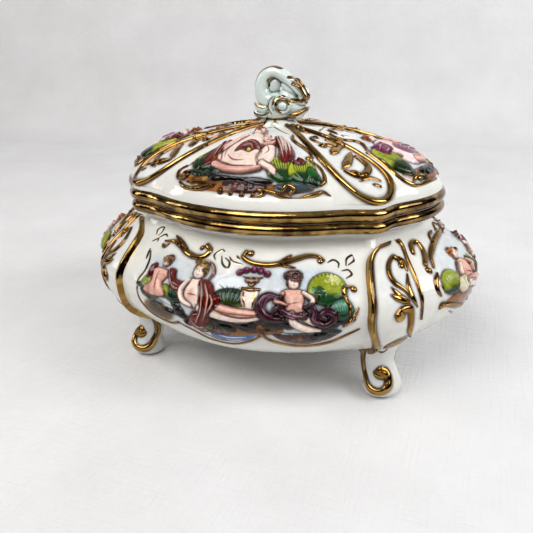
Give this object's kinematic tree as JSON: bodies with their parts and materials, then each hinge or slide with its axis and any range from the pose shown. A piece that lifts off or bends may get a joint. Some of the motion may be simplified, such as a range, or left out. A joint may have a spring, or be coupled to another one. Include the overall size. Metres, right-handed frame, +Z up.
{
  "type": "porcelain trinket box",
  "caption": "Footed oval casket with a lift-off domed lid, gilt rims, painted relief panels and a fish finial.",
  "frame": {"origin": "on the table, under the middle of the box", "axes": "+X along the length, +Y from the front to the rear, +Z up"},
  "size_m": [0.2324, 0.1854, 0.1685],
  "materials": {
    "white_glaze": "glossy white glaze on porcelain",
    "painted_relief": "relief painted in enamel colours under a glossy glaze",
    "gold_lustre": "burnished liquid gold fired on the glaze",
    "celadon_glaze": "pale aqua glaze, touched with gold"
  },
  "bodies": {
    "base": {"body_shell": "white_glaze", "body_rim": "gold_lustre", "body_corner_front_left": "white_glaze", "body_corner_front_right": "white_glaze", "body_corner_rear_left": "white_glaze", "body_corner_rear_right": "white_glaze", "body_relief_front": "painted_relief", "body_relief_rear": "painted_relief", "body_relief_left": "painted_relief", "body_relief_right": "painted_relief", "foot_front_left": "white_glaze", "foot_front_right": "white_glaze", "foot_rear_left": "white_glaze", "foot_rear_right": "white_glaze"},
    "lid": {"lid_shell": "white_glaze", "lid_rim": "gold_lustre", "lid_flange": "white_glaze", "lid_corner_front_left": "white_glaze", "lid_corner_front_right": "white_glaze", "lid_corner_rear_left": "white_glaze", "lid_corner_rear_right": "white_glaze", "lid_relief_front": "painted_relief", "lid_relief_rear": "painted_relief", "lid_relief_left": "painted_relief", "lid_relief_right": "painted_relief", "finial_mound": "celadon_glaze", "finial_fish": "celadon_glaze"}
  },
  "joints": [
    {"name": "lid_lift", "type": "slide", "parent": "base", "child": "lid", "axis": [0, 0, 1], "range_m": [0, 0.08]}
  ]
}
